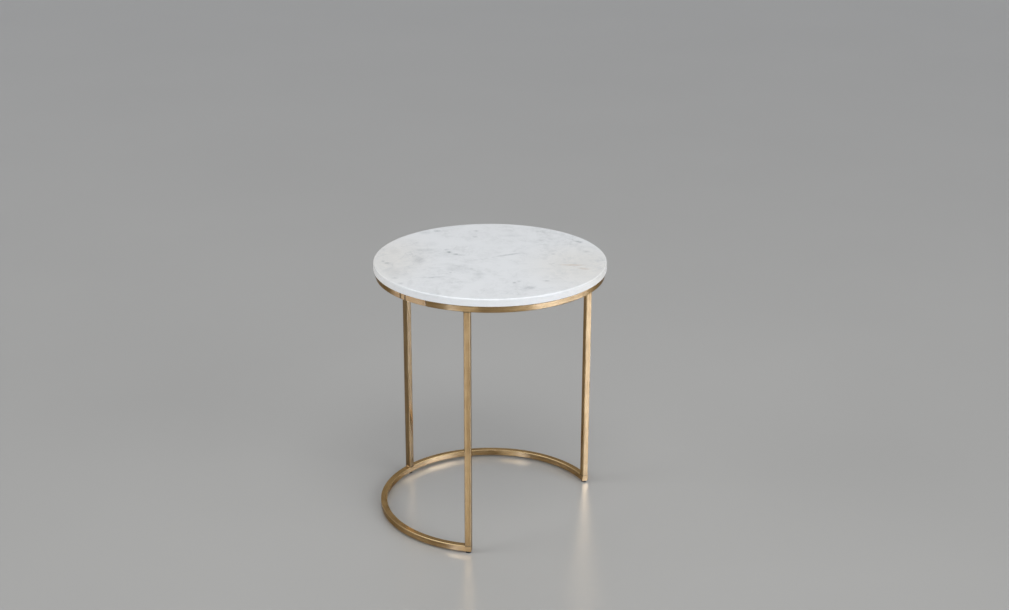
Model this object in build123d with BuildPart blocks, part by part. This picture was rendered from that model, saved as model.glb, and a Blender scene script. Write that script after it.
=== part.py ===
"""A round side table: a marble disc on a rolled ring, three legs and an open C of square tube.

Millimetres, +Z up. The origin is on the floor under the middle of the top, and the open side of
the base, where a second table or a chair leg slides in, faces -Y. The back leg stands at +Y.
"""

from build123d import *
import os

# ---- Overall sizes -------------------------------------------------------------------------
top_diameter = 460.0
table_height = 533.0
leg_spread = 117.0  # degrees from the back leg round to each end leg

# ---- Marble top ----------------------------------------------------------------------------
top_thickness = 15.0
top_edge_round = 3.0
top_overhang = 3.5  # marble beyond the outer face of the ring

# ---- Square tube of the frame --------------------------------------------------------------
tube_width = 12.7
tube_wall = 1.2
tube_corner = 1.2  # chamfer that stands for the rounded corner of the tube
cap_thickness = 1.5  # plates that close the two ends of the base
bead_leg = 2.2  # leg length of each fillet weld
weld_gap = 0.05  # root gap where a piece is welded to a rolled face

# ---- Silicone pads between ring and marble -------------------------------------------------
pad_count = 6
pad_width = 8.0
pad_thickness = 0.8

# ---- Tabs, screws, washers and inserts that hold the marble --------------------------------
tab_count = 3
tab_start = 30.0
tab_width = 22.0
tab_reach = 22.0
tab_thickness = 3.0
tab_corner = 5.0
tab_drop = 0.5  # tab below the rounded corner of the ring
screw_inset = 12.0  # screw axis in from the ring's inner face
screw_diameter = 5.0
screw_length = 16.0
screw_hole_clearance = 0.25
screw_head_flats = 8.0
screw_head_height = 3.5
washer_diameter = 11.0
washer_thickness = 1.0
insert_diameter = 8.0
insert_length = 9.5
insert_glue = 0.1  # epoxy round the insert
insert_hole_extra = 1.5  # depth of the hole past the insert

# ---- Levelling glides ----------------------------------------------------------------------
glide_diameter = 11.0
glide_height = 3.2  # from the floor to the tube, with the rim of the nut
glide_edge_chamfer = 0.7
glide_travel = 5.0  # how far a glide can be turned out of its nut
stem_diameter = 5.0
stem_cover = 0.8  # plastic left under the root of the stem
nut_flange_diameter = 8.2
nut_flange_height = 0.6
nut_body_flats = 7.0
thread_clearance = 0.05  # threads are drawn as plain cylinders with this radial gap

# ---- Levels and radii worked out from the sizes above --------------------------------------
top_radius = top_diameter / 2
frame_radius = top_radius - top_overhang
tube_centre = frame_radius - tube_width / 2
ring_inner = frame_radius - tube_width

top_bottom = table_height - top_thickness
ring_top = top_bottom - pad_thickness
ring_bottom = ring_top - tube_width
base_bottom = glide_height
base_top = base_bottom + tube_width
leg_length = ring_bottom - base_top

back_angle = 90.0
leg_angles = {
    "back": back_angle,
    "left": back_angle + leg_spread,
    "right": back_angle - leg_spread,
}

tab_top = ring_top - tube_corner - tab_drop
tab_bottom = tab_top - tab_thickness
screw_radius = ring_inner - screw_inset
screw_hole_diameter = screw_diameter + 2 * screw_hole_clearance
washer_bottom = tab_bottom - washer_thickness

os.makedirs("parts", exist_ok=True)


def save(piece, name):
    """Labels a finished piece and writes it as one STEP file."""
    piece.part.label = name
    export_step(piece.part, f"parts/{name}.step")


def eased_square(width):
    """Adds the outline of a square bar with eased corners to the sketch in progress."""
    with BuildSketch(mode=Mode.PRIVATE) as square:
        Rectangle(width, width)
        chamfer(square.vertices(), tube_corner)
    add(square.sketch)


def tube_profile():
    """Adds the hollow square section of the tube to the sketch in progress."""
    bore = tube_width - 2 * tube_wall
    eased_square(tube_width)
    Rectangle(bore, bore, mode=Mode.SUBTRACT)


def leg_frame(angle, level):
    """A level plane on a leg's axis, with X outwards along the radius."""
    turned = Plane.XY.rotated((0, 0, angle))
    return turned.offset(level).shift_origin(turned.from_local_coords((tube_centre, 0, level)))


# ---- Marble top ----------------------------------------------------------------------------
with BuildPart() as marble_top:
    with BuildSketch(Plane.XY.offset(top_bottom)):
        Circle(top_radius)
    extrude(amount=top_thickness)
    fillet(marble_top.edges().sort_by(Axis.Z)[-1], top_edge_round)
    with BuildSketch(Plane.XY.offset(top_bottom)):
        with PolarLocations(screw_radius, tab_count, tab_start):
            Circle(insert_diameter / 2 + insert_glue)
    extrude(amount=insert_length + insert_hole_extra, mode=Mode.SUBTRACT)
save(marble_top, "marble_top")

# ---- Rolled ring under the marble ----------------------------------------------------------
with BuildPart() as top_ring:
    with BuildSketch(Plane.XZ):
        with Locations((tube_centre, ring_bottom + tube_width / 2)):
            tube_profile()
    revolve(axis=Axis.Z)
save(top_ring, "top_ring")

# ---- Legs ----------------------------------------------------------------------------------
for side, angle in leg_angles.items():
    with BuildPart() as leg:
        with BuildSketch(leg_frame(angle, base_top)):
            tube_profile()
        extrude(amount=leg_length)
    save(leg, f"leg_{side}")

# ---- Open C of rolled tube on the floor ----------------------------------------------------
# Half of it is rolled from the back leg to past the left one, trimmed square to that leg so
# that the end plate finishes flush with the leg's side, and mirrored.
left_end = leg_frame(leg_angles["left"], base_bottom + tube_width / 2)
end_face = Plane(
    origin=left_end.from_local_coords((0, tube_width / 2 - cap_thickness, 0)),
    x_dir=left_end.x_dir,
    z_dir=left_end.y_dir,
)
spare_angle = 6.0  # rolled past the leg, then trimmed off

with BuildPart() as base_arc:
    with BuildSketch(Plane.YZ):
        with Locations((tube_centre, base_bottom + tube_width / 2)):
            tube_profile()
    revolve(axis=Axis.Z, revolution_arc=leg_spread + spare_angle)
    split(bisect_by=end_face, keep=Keep.BOTTOM)
    mirror(about=Plane.YZ)
    with BuildSketch(Plane.XY.offset(base_bottom)):
        for angle in leg_angles.values():
            with PolarLocations(tube_centre, 1, angle):
                RegularPolygon(nut_body_flats / 2 + weld_gap, 6, major_radius=False)
    extrude(amount=tube_wall, mode=Mode.SUBTRACT)
save(base_arc, "base_arc")

with BuildPart() as end_cap:
    with BuildSketch(end_face):
        eased_square(tube_width)
    extrude(amount=cap_thickness)
save(end_cap, "end_cap_left")

with BuildPart() as end_cap_right:
    mirror(end_cap.part, about=Plane.YZ)
save(end_cap_right, "end_cap_right")


# ---- Fillet welds at both ends of the legs -------------------------------------------------
bead_length = tube_width - 2 * tube_corner
bulge = 0.58 * bead_leg  # the bead's face passes this far from the leg and the rolled tube


def bead_plane(angle, level, side):
    """A plane across the bead beside a leg, with X away from the leg and Y upwards."""
    frame = leg_frame(angle, level)
    start = frame.from_local_coords((-bead_length / 2, side * tube_width / 2, 0))
    return Plane(origin=start, x_dir=frame.y_dir, z_dir=frame.x_dir)


def bead_outline(side, up):
    """Adds a fillet weld's section in the corner, its face bulging a little outwards."""
    Line((0, up * bead_leg), (0, 0))
    Line((0, 0), (side * bead_leg, 0))
    ThreePointArc((side * bead_leg, 0), (side * bulge, up * bulge), (0, up * bead_leg))


with BuildPart() as ring_welds:
    for angle in leg_angles.values():
        for side in (-1, 1):
            with BuildSketch(bead_plane(angle, ring_bottom, side)):
                with BuildLine():
                    bead_outline(side, -1)
                make_face()
            extrude(amount=bead_length)
save(ring_welds, "ring_welds")

# The end legs stand flush with the ends of the base, so they are welded on the inner side only.
base_bead_sides = {"back": (-1, 1), "left": (-1,), "right": (1,)}

with BuildPart() as base_welds:
    for name, sides in base_bead_sides.items():
        for side in sides:
            with BuildSketch(bead_plane(leg_angles[name], base_top, side)):
                with BuildLine():
                    bead_outline(side, 1)
                make_face()
            extrude(amount=bead_length)
save(base_welds, "base_welds")

# ---- Silicone pads that the marble lies on -------------------------------------------------
for number in range(pad_count):
    with BuildPart() as pad:
        with BuildSketch(Plane.XY.offset(ring_top)):
            with PolarLocations(tube_centre, 1, number * 360 / pad_count):
                Rectangle(pad_width, pad_width)
        extrude(amount=pad_thickness)
    save(pad, f"pad_{number + 1}")

# ---- Tabs welded inside the ring -----------------------------------------------------------
for number in range(tab_count):
    tab_angle = tab_start + number * 360 / tab_count
    with BuildPart() as tab:
        with BuildSketch(Plane.XY.offset(tab_bottom)) as outline:
            with PolarLocations(ring_inner - tab_reach / 2, 1, tab_angle):
                Rectangle(tab_reach + tab_corner, tab_width)
            chamfer(outline.vertices(), tab_corner)
            Circle(ring_inner - weld_gap, mode=Mode.INTERSECT)
            with PolarLocations(screw_radius, 1, tab_angle):
                Circle(screw_hole_diameter / 2, mode=Mode.SUBTRACT)
        extrude(amount=tab_thickness)
    save(tab, f"fixing_tab_{number + 1}")

# ---- Washers, screws and inserts, one of each at every tab ---------------------------------
with BuildPart() as washers:
    with BuildSketch(Plane.XY.offset(washer_bottom)):
        with PolarLocations(screw_radius, tab_count, tab_start):
            Circle(washer_diameter / 2)
            Circle(screw_hole_diameter / 2, mode=Mode.SUBTRACT)
    extrude(amount=washer_thickness)
save(washers, "fixing_washers")

with BuildPart() as screws:
    with BuildSketch(Plane.XY.offset(washer_bottom)):
        with PolarLocations(screw_radius, tab_count, tab_start):
            RegularPolygon(screw_head_flats / 2, 6, major_radius=False)
    extrude(amount=-screw_head_height)
    with BuildSketch(Plane.XY.offset(washer_bottom)):
        with PolarLocations(screw_radius, tab_count, tab_start):
            Circle(screw_diameter / 2)
    extrude(amount=screw_length)
save(screws, "fixing_screws")

with BuildPart() as inserts:
    with BuildSketch(Plane.XY.offset(top_bottom)):
        with PolarLocations(screw_radius, tab_count, tab_start):
            Circle(insert_diameter / 2)
            Circle(screw_diameter / 2 + thread_clearance, mode=Mode.SUBTRACT)
    extrude(amount=insert_length)
save(inserts, "marble_inserts")

# ---- Levelling glides: a rivet nut in the tube, a threaded stem and a plastic foot ---------
# A glide that is turned right out still holds one stem diameter of thread.
flange_bottom = base_bottom - nut_flange_height
nut_top = flange_bottom + glide_travel + stem_diameter
stem_bore = stem_diameter / 2 + thread_clearance

with BuildPart() as nuts:
    with BuildSketch(Plane.XY.offset(flange_bottom)):
        for angle in leg_angles.values():
            with PolarLocations(tube_centre, 1, angle):
                Circle(nut_flange_diameter / 2)
    extrude(amount=nut_flange_height)
    with BuildSketch(Plane.XY.offset(base_bottom)):
        for angle in leg_angles.values():
            with PolarLocations(tube_centre, 1, angle):
                RegularPolygon(nut_body_flats / 2, 6, major_radius=False)
    extrude(amount=nut_top - base_bottom)
    with BuildSketch(Plane.XY.offset(flange_bottom)):
        for angle in leg_angles.values():
            with PolarLocations(tube_centre, 1, angle):
                Circle(stem_bore)
    extrude(amount=nut_top - flange_bottom, mode=Mode.SUBTRACT)
save(nuts, "rivet_nuts")

for side, angle in leg_angles.items():
    with BuildPart() as stem:
        with BuildSketch(leg_frame(angle, stem_cover)):
            Circle(stem_diameter / 2)
        extrude(amount=nut_top - stem_cover)
    save(stem, f"glide_stem_{side}")

    with BuildPart() as foot:
        with BuildSketch(leg_frame(angle, 0)):
            Circle(glide_diameter / 2)
        extrude(amount=flange_bottom)
        chamfer(foot.edges().sort_by(Axis.Z)[0], glide_edge_chamfer)
        with BuildSketch(leg_frame(angle, stem_cover)):
            Circle(stem_bore)
        extrude(amount=flange_bottom - stem_cover, mode=Mode.SUBTRACT)
    save(foot, f"glide_foot_{side}")
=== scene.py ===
"""Round marble side table on a frame of square brass tube, built as a 3D-view add-on.

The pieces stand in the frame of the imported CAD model: metres, +Z up, the floor at zero and the
middle of the top over the origin. The open side of the base faces -Y.
"""

from math import asin, atan2, ceil, cos, pi, radians, sin, tan

import bmesh
import bpy
from mathutils import Matrix, Quaternion, Vector


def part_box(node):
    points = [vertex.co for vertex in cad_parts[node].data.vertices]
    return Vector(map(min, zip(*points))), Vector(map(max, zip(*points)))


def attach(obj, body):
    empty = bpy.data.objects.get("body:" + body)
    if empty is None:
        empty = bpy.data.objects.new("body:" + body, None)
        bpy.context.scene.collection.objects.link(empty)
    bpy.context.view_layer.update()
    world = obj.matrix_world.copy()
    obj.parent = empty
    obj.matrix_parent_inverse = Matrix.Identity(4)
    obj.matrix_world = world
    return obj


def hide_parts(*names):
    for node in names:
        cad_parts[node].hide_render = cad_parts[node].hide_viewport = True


bl_info = {
    "name": "Round Marble Side Table",
    "version": (1, 0, 0),
    "blender": (4, 5, 0),
    "location": "3D View > Sidebar > Side Table",
    "description": "Builds a round marble side table with an open C base round its CAD model",
    "category": "Add Mesh",
}

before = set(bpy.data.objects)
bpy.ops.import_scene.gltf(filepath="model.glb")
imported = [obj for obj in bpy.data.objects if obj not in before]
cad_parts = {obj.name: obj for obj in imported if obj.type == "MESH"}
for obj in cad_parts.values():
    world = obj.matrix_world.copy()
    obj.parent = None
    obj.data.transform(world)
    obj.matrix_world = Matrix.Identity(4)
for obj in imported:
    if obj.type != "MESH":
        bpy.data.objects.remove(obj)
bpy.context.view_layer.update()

MM = 0.001
LEG_SIDES = ("back", "left", "right")


# ---- Sizes read from the CAD model ----------------------------------------------------------
def box_centre(node):
    """Middle of a CAD node's box."""
    low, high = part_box(node)
    return (low + high) / 2


TOP_LOW, TOP_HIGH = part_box("marble_top")
RING_LOW, RING_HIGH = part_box("top_ring")
BASE_LOW, BASE_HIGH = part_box("base_arc")
TUBE = RING_HIGH.z - RING_LOW.z
TUBE_CENTRE = RING_HIGH.x - TUBE / 2  # distance of a tube's middle line from the table's axis


def leg_angle(side):
    """Direction of a leg from the middle of the table, in radians."""
    middle = box_centre(f"leg_{side}")
    return atan2(middle.y, middle.x)


def leg_place(side, level=0.0):
    """Matrix of a leg's axis at a level, with X outwards and Y round to the left."""
    turn = Matrix.Rotation(leg_angle(side), 4, "Z")
    return turn @ Matrix.Translation((TUBE_CENTRE, 0, level))


# ---- Colours --------------------------------------------------------------------------------
def linear(code):
    """Turns an sRGB hex colour into the linear RGBA that the shaders use."""
    parts = [int(code[at : at + 2], 16) / 255 for at in (1, 3, 5)]
    low = [value / 12.92 for value in parts]
    high = [((value + 0.055) / 1.055) ** 2.4 for value in parts]
    return tuple(a if v <= 0.04045 else b for v, a, b in zip(parts, low, high)) + (1.0,)


def colour_property(name, description, code):
    """A colour setting whose default is an sRGB hex colour."""
    return bpy.props.FloatVectorProperty(
        name=name, description=description, subtype="COLOR", size=4, min=0.0, max=1.0,
        default=linear(code),
    )


# ---- Settings -------------------------------------------------------------------------------
class SideTableStone(bpy.types.PropertyGroup):
    """Settings of the marble top."""

    edge_round: bpy.props.FloatProperty(
        name="Edge round", description="Radius of the polished round on the upper edge",
        default=3.0 * MM, min=0.5 * MM, unit="LENGTH",
    )
    arris: bpy.props.FloatProperty(
        name="Lower arris", description="Small flat rubbed on the lower edge", default=0.6 * MM,
        unit="LENGTH",
    )
    ground: colour_property("Ground", "White of the stone between its clouds", "#ECEEF0")
    cream: colour_property("Cream", "Warmer white of the banks by the rim", "#E9E6E0")
    cloud: colour_property("Cloud", "Soft grey that drifts through the stone", "#CCCFD0")
    vein: colour_property("Vein", "Dark grey of the few small marks", "#7F868B")
    iron: colour_property("Iron stain", "Warm stain beside a vein", "#C9B39C")


class SideTableBrass(bpy.types.PropertyGroup):
    """Settings of the tube frame."""

    corner: bpy.props.FloatProperty(
        name="Tube corner", description="Radius of the tube's long corners", default=1.6 * MM,
        min=0.2 * MM, unit="LENGTH",
    )
    bead: bpy.props.FloatProperty(
        name="Weld bead", description="Leg length of the small fillet welds", default=2.2 * MM,
        unit="LENGTH",
    )
    tone: colour_property("Brass", "Brushed brass under its aged lacquer", "#B49465")
    deep: colour_property("Aged brass", "Darker tone in the brush lines", "#8C6B3E")
    # Painted highlight: this paler brass is painted along the tubes' long corners to brighten
    # their glints.
    corner_glint: colour_property("Rubbed brass", "Corners rubbed bright by polishing", "#DFC899")
    # Also the tone of the painted shade in the corners where the legs are welded on.
    seam: colour_property("Seam", "Dark hairline of a butt joint", "#3E3017")


class SideTableSmall(bpy.types.PropertyGroup):
    """Settings of the glides, pads and fixings."""

    plastic: colour_property("Glide plastic", "Black moulded nylon", "#17171A")
    zinc: colour_property("Zinc plate", "Bright zinc on steel", "#C3C6C8")
    turned: colour_property("Turned brass", "Free-cutting brass of the inserts", "#D9BE84")
    silicone: colour_property("Silicone", "Clear silicone that looks milky", "#DEDED9")


class SideTableStage(bpy.types.PropertyGroup):
    """Settings of the floor, the light and the camera."""

    floor: colour_property("Floor", "Plain pale floor", "#ACABA8")
    sky: colour_property("Room", "Soft light of the room near the horizon", "#BCBDBF")
    ceiling: colour_property("Ceiling", "Soft light from overhead", "#9D9EA0")
    lens: bpy.props.FloatProperty(
        name="Lens", description="Focal length for a sensor 36 mm wide", default=59.06, min=1.0,
    )
    tilt: bpy.props.FloatProperty(
        name="Tilt", description="How far the camera looks down", default=radians(20.462),
        subtype="ANGLE",
    )
    heading: bpy.props.FloatProperty(
        name="Heading", description="Turn of the camera about the vertical",
        default=radians(-52.39), subtype="ANGLE",
    )
    roll: bpy.props.FloatProperty(
        name="Roll", description="Turn of the camera about its own axis",
        default=radians(0.168), subtype="ANGLE",
    )
    camera: bpy.props.FloatVectorProperty(
        name="Camera", description="Place of the camera", subtype="TRANSLATION", unit="LENGTH",
        default=(-2.428, -1.9065, 1.588),
    )


class SideTableSettings(bpy.types.PropertyGroup):
    """All settings of the side table."""

    stone: bpy.props.PointerProperty(type=SideTableStone)
    brass: bpy.props.PointerProperty(type=SideTableBrass)
    small: bpy.props.PointerProperty(type=SideTableSmall)
    stage: bpy.props.PointerProperty(type=SideTableStage)


# ---- Node trees -----------------------------------------------------------------------------
def add(tree, kind, sockets=(), operation=None, **settings):
    """Adds a node with its settings, fills or links its inputs, and returns its outputs."""
    made = tree.nodes.new("ShaderNode" + kind)
    if operation:
        made.operation = operation
    for name, value in settings.items():
        setattr(made, name, value)
    for key, value in sockets.items() if isinstance(sockets, dict) else enumerate(sockets):
        if isinstance(value, bpy.types.NodeSocket):
            tree.links.new(value, made.inputs[key])
        else:
            made.inputs[key].default_value = value
    return made.outputs


def new_material(name):
    """An empty node material, its tree and its output node."""
    made = bpy.data.materials.new(name)
    made.use_nodes = True
    made.node_tree.nodes.clear()
    return made, made.node_tree


def finish_material(made, shader):
    """Puts the finished shader on the material's output."""
    add(made.node_tree, "OutputMaterial", {"Surface": shader})
    return made


# A Math node takes its terms in order, and a MapRange node takes its value, then the two ends
# of the range that it comes from and the two ends of the range that it goes to.
COLOURS = {"data_type": "RGBA"}
BY, FROM, TO, MIXED = 0, 6, 7, 2  # sockets of a Mix node that is set to colours
SMOOTH = {"interpolation_type": "SMOOTHSTEP"}


# ---- Mesh building --------------------------------------------------------------------------
CORNER_STEPS = 7
SUPPORT = 0.25 * MM  # flat strip kept beside each round so that the flats shade flat
SHARP = radians(35)  # edges that turn by more than this are shaded sharp


def square_section(half, corner):
    """Section of a square bar with rounded corners, as (x, y, distance round it, weight of the
    painted highlight on its corners).
    """
    points = []
    for quarter in range(4):
        start = radians(90 * quarter)
        turned = Matrix.Rotation(start, 2)
        centre = turned @ Vector((half - corner, half - corner))
        points.append((turned @ Vector((half, half - corner - SUPPORT)), 0.0))
        for step in range(CORNER_STEPS + 1):
            turn = start + radians(90) * step / CORNER_STEPS
            glint_weight = sin(pi * step / CORNER_STEPS)
            points.append((centre + corner * Vector((cos(turn), sin(turn))), glint_weight))
        points.append((turned @ Vector((half - corner - SUPPORT, half)), 0.0))
    made, around = [], 0.0
    for at, (point, glint_weight) in enumerate(points):
        made.append((point.x, point.y, around, glint_weight))
        around += (points[(at + 1) % len(points)][0] - point).length
    return made, around


def finish_mesh(work, mesh):
    """Turns the faces outwards and writes the finished form to its mesh."""
    bmesh.ops.recalc_face_normals(work, faces=work.faces)
    work.to_mesh(mesh)
    work.free()
    return mesh


def sweep(mesh, sections, along, section, total, loop=False):
    """Adds a skin through a row of sections; its corners keep their run along and round."""
    work = bmesh.new()
    work.from_mesh(mesh)
    layers = work.loops.layers.float_vector
    layer = layers.get("run") or layers.new("run")
    rings = [[work.verts.new(point) for point in ring] for ring in sections]
    count = len(section)
    around = [entry[2] for entry in section] + [total]
    glint_weight = [entry[3] for entry in section] + [section[0][3]]
    for at in range(len(rings) if loop else len(rings) - 1):
        here, there = rings[at], rings[(at + 1) % len(rings)]
        for side in range(count):
            other = (side + 1) % count
            face = work.faces.new((here[side], here[other], there[other], there[side]))
            face.smooth = True
            places = ((at, side), (at, side + 1), (at + 1, side + 1), (at + 1, side))
            for corner, (a, s) in zip(face.loops, places):
                corner[layer] = (along[a], around[s], glint_weight[s])
    if not loop:
        for ring in (rings[0][::-1], rings[-1]):
            for corner in work.faces.new(ring).loops:
                corner[layer] = (along[0], 0.0, 0.0)
    return finish_mesh(work, mesh)


def lathe(mesh, outline, steps, middle=(0.0, 0.0), cut=None):
    """Adds a form turned about a vertical axis from (radius, level) points; 0 is a pole."""
    work = bmesh.new()
    work.from_mesh(mesh)
    rings = []
    for radius, level in outline:
        if radius == 0:
            rings.append([work.verts.new((*middle, level))])
            continue
        ring = []
        for step in range(steps):
            turn = 2 * pi * step / steps
            reach = cut(radius, level, turn) if cut else radius
            x, y = middle[0] + reach * cos(turn), middle[1] + reach * sin(turn)
            ring.append(work.verts.new((x, y, level)))
        rings.append(ring)
    for low, high in zip(rings, rings[1:]):
        for step in range(steps):
            other = (step + 1) % steps
            corners = [low[step % len(low)], low[other % len(low)]]
            corners += [high[other % len(high)], high[step % len(high)]]
            work.faces.new(list(dict.fromkeys(corners))).smooth = True
    return finish_mesh(work, mesh)


def round_edge(radius, level, size, start, steps):
    """Points of a quarter round of an outline, from one direction in degrees, round by 90."""
    turns = [radians(start + 90 * step / steps) for step in range(steps + 1)]
    return [(radius + size * cos(turn), level + size * sin(turn)) for turn in turns]


PITCH = 0.8 * MM  # M5 coarse thread
THREAD_DEPTH = 0.43 * MM
THREAD_STEPS = 6  # rows of faces for each turn of the thread


def thread_cut(radius):
    """Cuts a helical thread into a turned rod of that radius."""

    def cut(reach, level, turn):
        share = (level / PITCH - turn / (2 * pi)) % 1.0
        return min(reach, radius - THREAD_DEPTH * (1 - abs(2 * share - 1)))

    return cut


def rod_outline(radius, low, high):
    """Outline of a rod with a chamfered tip, in short steps that take a thread."""
    start, end = low + THREAD_DEPTH, high - THREAD_DEPTH
    count = ceil((end - start) / PITCH * THREAD_STEPS)
    rod = [(radius, start + (end - start) * step / count) for step in range(count + 1)]
    return [(radius - THREAD_DEPTH, low), *rod, (radius - THREAD_DEPTH, high), (0.0, high)]


SCREW_RADIUS = 2.5 * MM  # M5
SCREW_SIDES = 36
HEAD_FLAT = 4.0 * MM  # from the axis of an M5 screw to each flat of its head
HEAD_CORNER = HEAD_FLAT / cos(radians(30))
HEAD_END = 0.94 * HEAD_FLAT  # radius of the flat end inside the chamfer
HEAD_EASE = 0.1 * MM  # height of the chamfer where it meets a flat
HEAD_SLOPE = tan(radians(30))  # rise of the chamfer towards a corner
HEAD_STEPS = 4
SCREW_LOW, SCREW_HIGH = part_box("fixing_screws")
SCREW_CIRCLE = -SCREW_LOW.y - HEAD_CORNER  # distance from the middle of the table
# Direction and place of each screw; the last one points along -Y.
SCREW_SPOTS = [
    (turn, (SCREW_CIRCLE * cos(turn), SCREW_CIRCLE * sin(turn)))
    for turn in map(radians, (30, 150, 270))
]


def hexagon_screw(mesh, middle, start, seat):
    """Adds a screw with a chamfered hexagon head, its tip upwards and a corner at the start."""
    low = SCREW_LOW.z
    thread = thread_cut(SCREW_RADIUS)

    def cut(reach, level, turn):
        if level > seat:
            return thread(reach, level, turn)
        # The head is turned first and then cut to six flats, which leaves arcs on them.
        off = (turn - start) % radians(60) - radians(30)
        return min(reach, HEAD_FLAT / cos(off))

    head = [(0.0, low), (HEAD_END, low)]
    for step in range(HEAD_STEPS + 1):
        over = (HEAD_CORNER - HEAD_FLAT) * step / HEAD_STEPS
        head.append((HEAD_FLAT + over, low + HEAD_EASE + over * HEAD_SLOPE))
    outline = [*head, (HEAD_CORNER, seat), *rod_outline(SCREW_RADIUS, seat, SCREW_HIGH.z)]
    return lathe(mesh, outline, SCREW_SIDES, middle, cut)


def place_piece(name, mesh, material, replaces, body="frame", matrix=None):
    """Puts a finished mesh in the scene as a piece that rides on its body."""
    mesh.set_sharp_from_angle(angle=SHARP)
    mesh.materials.append(material)
    piece = bpy.data.objects.new(name, mesh)
    bpy.context.scene.collection.objects.link(piece)
    if matrix is not None:
        piece.matrix_world = matrix
    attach(piece, body)
    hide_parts(*replaces)


# ---- Materials ------------------------------------------------------------------------------
# Marks of the stone: middle along and across the grain, length and width, all in millimetres,
# then the turn in degrees and the depth of the tone. The grain runs from back left to front
# right, where the open side of the base is the front.
STONE_MARKS = (
    (-82, 41, 13, 14, 1, 1.00),
    (-69, 28, 12, 11, -14, 0.70),
    (-58, 23, 18, 10, -9, 0.40),
    (-87, 57, 12, 11, 38, 0.35),
    (-140, -8, 29, 49, 1, 0.42),
    (-135, -2, 14, 22, 1, 0.38),
    (-201, -28, 16, 14, -12, 0.55),
    (-210, -15, 9, 12, 1, 0.40),
    (76, -166, 29, 21, 14, 0.52),
    (47, -138, 8, 10, 27, 0.50),
    (56, -131, 8, 9, 0, 0.35),
    (36, 26, 70, 11, 25, 0.50),
    (-64, -56, 58, 53, 1, 0.18),
    (-52, -43, 27, 30, 1, 0.18),
    (-76, -82, 7, 9, 1, 0.45),
    (-30, 179, 12, 10, 1, 0.50),
    (-32, 140, 14, 15, 1, 0.35),
    (-136, 167, 31, 27, 13, 0.30),
    (-110, 178, 20, 16, -19, 0.45),
    (-135, 54, 52, 22, 1, 0.20),
    (-190, 45, 27, 38, 21, 0.15),
    (44, 147, 74, 20, 1, 0.15),
    (180, 109, 18, 14, -26, 0.65),
    (191, 47, 18, 15, 1, 0.30),
    (125, 31, 10, 10, 1, 0.40),
    (108, -127, 17, 9, 4, 0.45),
    (-106, -109, 48, 9, 11, 0.40),
    (-180, -114, 17, 17, 1, 0.30),
    (-150, -139, 15, 34, 0, 0.16),
    (-167, -145, 13, 15, 0, 0.30),
    (-21, -90, 35, 26, 1, 0.18),
    (-182, -82, 50, 66, 0, 0.21),
    (-88, 30, 28, 36, 0, 0.16),
    (-121, 92, 34, 38, 0, 0.13),
    (-137, -26, 20, 28, 0, 0.13),
)
# Iron stains, written the same way.
STONE_STAINS = (
    (160, -35, 58, 12, -2, 0.45),
    (182, -56, 28, 14, -18, 0.35),
)
# Banks where the white turns a little creamy, written the same way.
STONE_BANKS = (
    (-205, 0, 190, 360, 0, 0.8),
    (180, -40, 240, 300, 0, 0.8),
)
GRAIN_TURN = radians(52.4)
MARK_FADE = (1.25, 0.1)  # a mark grows from nothing to its full tone between these reaches
SAWN = 0.3 * MM  # what lies less than this above the underside is left sawn


def marks_mask(tree, coordinates, marks):
    """The strongest of the soft ovals at each point of the face, one oval for each mark."""
    total = None
    for along, across, length, width, turn, depth in marks:
        unit = add(tree, "Mapping", {
            "Vector": coordinates, "Location": (along * MM, across * MM, TOP_HIGH.z),
            "Rotation": (0, 0, radians(turn)), "Scale": (length / 2 * MM, width / 2 * MM, 1)
        }, vector_type="TEXTURE")[0]
        reach = add(tree, "VectorMath", [unit], "LENGTH")["Value"]
        oval = add(tree, "MapRange", [reach, *MARK_FADE, 0.0, depth], **SMOOTH)[0]
        if total is not None:
            oval = add(tree, "Math", [total, oval], "MAXIMUM")[0]
        total = oval
    return total


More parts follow.
